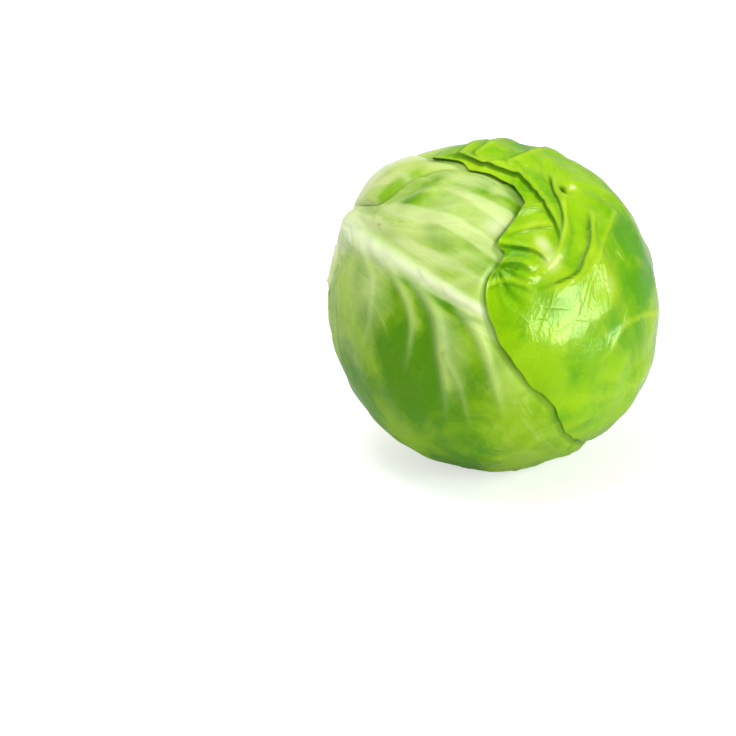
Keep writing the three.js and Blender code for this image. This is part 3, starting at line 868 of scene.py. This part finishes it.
def buildLeafSkin():
    # shared by all leaves: paints green blade, pale ribs, veins and folds, painted shade in creases and
    # under covering leaves and painted highlights on fold crests and pale spots, and gives their fine
    # relief
    group = bpy.data.node_groups.new("leafSkin", "ShaderNodeTree")
    for name in colourNames:
        addSocket(group, name, "NodeSocketColor", "INPUT", leafFinishes["green"][name])
    for name in numberNames + ("Under Shade",):
        addSocket(group, name, "NodeSocketFloat", "INPUT", leafFinishes["green"].get(name, 0.5))
    addSocket(group, "Colour", "NodeSocketColor", "OUTPUT")
    addSocket(group, "Roughness", "NodeSocketFloat", "OUTPUT")
    addSocket(group, "Height", "NodeSocketFloat", "OUTPUT")
    given = group.nodes.new("NodeGroupInput").outputs
    result = group.nodes.new("NodeGroupOutput").inputs
    place = group.nodes.new("ShaderNodeTexCoord").outputs["Object"]
    times, plus, minus, mix, noise, ramp = toolsFor(group)
    mask = partial(maskNode, group)
    broad = noise(place, skinScales["broad"], 2.0)
    patches = noise(place, skinScales["patches"], 4.0, 0.6, 0.4)
    fine = noise(place, skinScales["fine"])
    tone = mask("tone")
    # deep tones, partly painted shade, deepen the green; pale tones, partly painted highlights and
    # reflection, lighten it
    deep = mathNode(group, "MAXIMUM", tone, 0.0)
    light = mathNode(group, "MAXIMUM", times(tone, -1.0), 0.0)
    mottle = plus(times(broad, 0.5), times(patches, 0.5))
    mottle = minus(ramp(mottle, 0.36, 0.62), times(deep, 0.8), True)
    greens = mix(mottle, given["Deep Green"], given["Light Green"])
    # strands are long along the fan's reach and fine across it
    strands = group.nodes.new("ShaderNodeCombineXYZ")
    link(group, times(mask("fanSine"), strandsRound), strands.inputs[0])
    link(group, times(mask("fanCosine"), strandsRound), strands.inputs[1])
    link(group, plus(times(mask("fanReach"), 1.6), times(broad, 1.2)), strands.inputs[2])
    strand = noise(strands.outputs[0], skinScales["strand"], 5.0, 0.62)
    streak = ramp(mask("streak"), -0.6, 1.1)
    strandShare = ramp(plus(times(streak, 0.45), strand), 0.52, 0.98)
    paler = times(plus(times(strandShare, 1.1), times(ramp(patches, 0.35, 0.7), 0.2)), given["Paleness"])
    paler = plus(paler, times(light, 0.5))
    paler = plus(paler, times(mask("base"), given["Base Paleness"]))
    colour = mix(minus(paler, times(deep, 0.7), True), greens, given["Pale"])
    # the palest spots, painted highlights and a painted reflection, turn nearly white
    colour = mix(times(ramp(light, 0.5, 1.3), 0.8), colour, given["Rib"])
    net = netNode(group, place, skinScales["net"], 0.075)
    smallNet = netNode(group, place, skinScales["smallNet"], 0.10)
    colour = mix(times(plus(net, times(smallNet, 0.4), True), given["Net Contrast"]), colour, given["Pale"])
    colour = mix(times(mask("vein"), given["Vein Contrast"], True), colour, given["Pale"])
    # painted highlight along the fold crests
    colour = mix(times(mask("crestHighlight"), 0.35), colour, given["Pale"])
    colour = mix(times(mask("rib"), 0.95), colour, given["Rib"])
    # painted shade: a leaf turns towards the darkest green next to the margin of a leaf lying over it, and
    # along creases and in the pit
    under = times(ramp(mask("covered"), 0.5, 1.0), given["Under Shade"])
    paintedShade = mathNode(group, "MAXIMUM", under, times(mask("creaseShade"), 0.95))
    link(group, mix(paintedShade, colour, given["Crease Shade"]), result["Colour"])
    rough = plus(given["Roughness"], times(minus(patches, 0.5), 0.18))
    link(group, plus(rough, times(fine, 0.05), True), result["Roughness"])
    high = times(plus(times(net, 0.7), times(smallNet, 0.3)), given["Net Relief"])
    high = plus(high, times(patches, 0.8))
    high = plus(high, times(strand, given["Strand Relief"]))
    link(group, plus(high, times(fine, 0.12)), result["Height"])
    return group


leafSkin = buildLeafSkin()


def newMaterial(name, values):
    # a material with its tree and shader, and uniform numbers on the shader's own sockets
    material = bpy.data.materials.new(name)
    material.use_nodes = True
    shader = material.node_tree.nodes["Principled BSDF"]
    setInputs(shader, values)
    return material, material.node_tree, shader


def addBump(tree, shader, height, distance, strength):
    bump = tree.nodes.new("ShaderNodeBump")
    setInputs(bump, {"Distance": distance, "Strength": strength})
    link(tree, height, bump.inputs["Height"])
    link(tree, bump.outputs["Normal"], shader.inputs["Normal"])


leafShine = {"IOR": 1.33, "Specular Tint": (0.9, 1.0, 0.4, 1), "Subsurface Weight": 0.2,
             "Subsurface Radius": (0.6, 1.0, 0.12), "Subsurface Scale": 0.004}


def leafMaterial(name, finish):
    material, tree, shader = newMaterial(name, leafShine)
    skin = tree.nodes.new("ShaderNodeGroup")
    skin.node_tree = leafSkin
    setInputs(skin, finish)
    addBump(tree, shader, skin.outputs["Height"], 0.0005, 0.55)
    link(tree, skin.outputs["Colour"], shader.inputs["Base Color"])
    link(tree, skin.outputs["Roughness"], shader.inputs["Roughness"])
    return material


materials = {name: leafMaterial("leaf_" + name, finish) for name, finish in leafFinishes.items()}
print("finishes ready")

for number, wrapperLeaf in enumerate(wrapperLeaves):
    made = makeLeaf(wrapperLeaf, number, materials[wrapperLeaf["finish"]])
    print(made.name, len(made.data.polygons), "faces")


# the profile holds the distance from the head's middle along the stalk, and the radius there
stalk = {
    "profile": [(24, 5), (32, 9), (52, 11), (72, 13.5), (86, 15), (91.5, 15.6), (93.2, 15.2), (93.8, 14.2)],
    "sides": 96, "capRings": 4, "capStep": 3.1, "ridges": 0.35, "ringRadius": 10.4,
}
pithShine = {"Subsurface Weight": 0.15, "Subsurface Radius": (0.8, 1.0, 0.4), "Subsurface Scale": 0.003}
heart = {"detail": 6, "step": 1.3, "feather": 7.0, "socketDepth": 1.5, "wave": 0.25, "waveSize": 18.0}


def vectorNode(tree, operation, first, second=None):
    node = tree.nodes.new("ShaderNodeVectorMath")
    node.operation = operation
    link(tree, first, node.inputs[0])
    if second is not None:
        node.inputs[1].default_value = second
    return node.outputs


def stalkMaterial():
    # rings round the stalk's axis: pale pith, a greener ring and the skin
    material, tree, shader = newMaterial("cut_pith", pithShine)
    times, plus, minus, mix, noise, ramp = toolsFor(tree)
    place = tree.nodes.new("ShaderNodeTexCoord").outputs["Object"]
    moved = vectorNode(tree, "SUBTRACT", place, tuple(headCentre / 1000))[0]
    crossed = vectorNode(tree, "CROSS_PRODUCT", moved, tuple(stem))[0]
    fromAxis = times(vectorNode(tree, "LENGTH", crossed)["Value"], 1000.0)
    grain = noise(place, 520.0, 5.0, 0.65)
    patches = noise(place, 90.0, 3.0)
    wobbly = plus(fromAxis, times(patches, 1.6))
    fromRing = mathNode(tree, "ABSOLUTE", minus(wobbly, stalk["ringRadius"]))
    ring = minus(1.0, ramp(fromRing, 0.2, 1.5))
    colour = mix(grain, linear(222, 226, 176), linear(240, 240, 206))
    colour = mix(times(ring, 0.6), colour, linear(190, 208, 118))
    colour = mix(ramp(patches, 0.55, 0.75), colour, linear(206, 190, 138))
    colour = mix(ramp(wobbly, 13.2, 15.4), colour, linear(196, 216, 132))
    link(tree, colour, shader.inputs["Base Color"])
    addBump(tree, shader, plus(grain, times(ring, 0.5)), 0.0006, 0.5)
    link(tree, plus(0.42, times(grain, 0.3)), shader.inputs["Roughness"])
    return material


def makeStalk():
    # a ring drawn out step by step along the stalk's axis, then closed by the rings of the cut
    bpy.ops.object.select_all(action="DESELECT")
    facing = Vector(stem).to_track_quat("Z", "Y").to_euler()
    start, radius = stalk["profile"][0]
    at = headCentre + stem * start
    bpy.ops.mesh.primitive_circle_add(vertices=stalk["sides"], radius=radius / 1000, fill_type="NGON",
                                      location=Vector(at / 1000), rotation=facing)
    obj = bpy.context.object
    obj.name = "stalk_fine"
    bpy.ops.object.transform_apply(location=True, rotation=True, scale=True)
    bpy.ops.object.mode_set(mode="EDIT")
    bpy.ops.mesh.select_mode(type="FACE")
    bpy.ops.mesh.select_all(action="SELECT")
    for (axial, wide), (nextAxial, nextWide) in zip(stalk["profile"], stalk["profile"][1:]):
        move = stem * (nextAxial - axial) / 1000
        bpy.ops.mesh.extrude_region_move(TRANSFORM_OT_translate={"value": tuple(move)})
        bpy.ops.transform.resize(value=(nextWide / wide,) * 3)
    for _ in range(stalk["capRings"]):
        bpy.ops.mesh.inset(thickness=stalk["capStep"] / 1000, depth=0)
    bpy.ops.mesh.poke()
    bpy.ops.mesh.select_all(action="SELECT")
    bpy.ops.mesh.normals_make_consistent(inside=False)
    bpy.ops.object.mode_set(mode="OBJECT")
    # low ridges along the skin, where the leaf bases ran down it
    for vertex in obj.data.vertices:
        place = np.array(vertex.co) * 1000 - headCentre
        axial = place.dot(stem)
        out = place - stem * axial
        far = np.linalg.norm(out)
        if far > 1 and axial > 30:
            turn = math.atan2(out.dot(topAxis), out.dot(frontAxis))
            ridge = math.sin(8 * turn + axial / 14) + 0.5 * math.sin(19 * turn + 1)
            share = min(1.0, far / 15) ** 3
            moved = place - (out / far) * stalk["ridges"] * share * (1.2 - ridge * 0.8)
            vertex.co = Vector((headCentre + moved) / 1000)
    onlySelect(obj)
    bpy.ops.object.shade_smooth_by_angle(angle=math.radians(40))
    obj.data.materials.append(stalkMaterial())
    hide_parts("stalk")
    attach(obj, "root")


# longitude and colatitude of the folded leaves whose edges show on the heart
heartLeaves = [{"longitude": longitude, "colatitude": colatitude, "outline": commonOutline}
               for longitude, colatitude in ((105, 70), (-100, 76), (-28, 66), (178, 68))]


def makeHeart():
    for leaf in heartLeaves:
        layOut(leaf)
    bpy.ops.mesh.primitive_ico_sphere_add(subdivisions=heart["detail"], radius=1)
    obj = bpy.context.object
    obj.name = "heart_fine"
    mesh = obj.data
    dirs = unit(vertexPlaces(mesh))
    fromStem = degreesFrom(stem, dirs)
    depth, _ = stackAt(dirs, None)
    steps = sum(1 - coverOf(leaf, dirs, heart["feather"]) for leaf in heartLeaves) * heart["step"]
    radius = outerRadius(dirs) - depth - head["heartGap"] - steps
    radius = radius + heart["wave"] * waves(dirs, heart["waveSize"], 3)
    radius = radius - (1 - smooth(9.5, 12.5, fromStem)) * heart["socketDepth"]
    shapeMesh(mesh, dirs, radius, restLevel(len(wrapperLeaves)) + head["heartGap"])
    plain = np.zeros(len(dirs))
    addMasks(mesh, {mask: plain for mask in ("rib", "vein", "creaseShade", "crestHighlight", "tone", "covered")})
    addMasks(mesh, {"base": np.exp(-fromStem / blade["paleRun"]), "streak": streaksOn(dirs, 90)})
    addMasks(mesh, dict(zip(fanNames, fanPlace(stem, topAxis, dirs))))
    onlySelect(obj)
    bpy.ops.object.shade_smooth_by_angle(angle=math.radians(60))
    mesh.materials.append(materials["pale"])
    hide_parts("heart")
    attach(obj, "root")


makeStalk()
makeHeart()
print("stalk and heart in place")

stageValues = {"tableSize": 14.0, "skyStrength": 0.44, "tableGlow": 0.6}


def makeTable():
    bpy.ops.mesh.primitive_circle_add(vertices=128, radius=stageValues["tableSize"], fill_type="NGON",
                                      location=(0, 0, -0.0003))
    table = bpy.context.object
    table.name = "table"
    material, tree, shader = newMaterial("table_white", {
        "Base Color": (0.8, 0.8, 0.8, 1), "Roughness": 0.7, "Emission Color": (1, 1, 1, 1)})
    rays = tree.nodes.new("ShaderNodeLightPath")
    link(tree, mathNode(tree, "MULTIPLY", rays.outputs["Is Camera Ray"], stageValues["tableGlow"]),
         shader.inputs["Emission Strength"])
    table.data.materials.append(material)


def addSoftbox(name, place, size, power, target):
    bpy.ops.object.light_add(type="AREA", location=place)
    lamp = bpy.context.object
    lamp.name = name
    lamp.data.shape = "RECTANGLE"
    lamp.data.size, lamp.data.size_y = size
    lamp.data.energy = power
    lamp.rotation_euler = (Vector(target) - Vector(place)).to_track_quat("-Z", "Y").to_euler()
    lamp.visible_camera = False
    return lamp


def lightScene():
    world = bpy.context.scene.world or bpy.data.worlds.new("studio")
    bpy.context.scene.world = world
    world.use_nodes = True
    tree = world.node_tree
    tree.nodes.clear()
    seen, glow = (tree.nodes.new("ShaderNodeBackground") for _ in range(2))
    setInputs(seen, {"Strength": 1.0, "Color": (1, 1, 1, 1)})
    setInputs(glow, {"Strength": stageValues["skyStrength"], "Color": (1, 1, 1, 1)})
    rays = tree.nodes.new("ShaderNodeLightPath")
    choose = tree.nodes.new("ShaderNodeMixShader")
    result = tree.nodes.new("ShaderNodeOutputWorld")
    link(tree, rays.outputs["Is Camera Ray"], choose.inputs[0])
    link(tree, glow.outputs[0], choose.inputs[1])
    link(tree, seen.outputs[0], choose.inputs[2])
    link(tree, choose.outputs[0], result.inputs["Surface"])
    middle = (0, 0, 0.09)
    addSoftbox("top_softbox", (-0.3, -0.15, 1.5), (0.8, 0.8), 13.5, middle)
    addSoftbox("front_softbox", (0.95, -1.0, 0.6), (0.9, 0.9), 9, middle)
    glare = addSoftbox("glare_softbox", (0.63, -0.447, 0.172), (0.66, 0.235), 14.6, middle)
    glare.rotation_euler.rotate_axis("Z", math.radians(-12))
    glare.data.color = (0.74, 0.8, 1.0)
    glare.visible_diffuse = False
    bpy.context.scene.view_settings.view_transform = "Standard"


makeTable()
lightScene()
print("table and light in place")
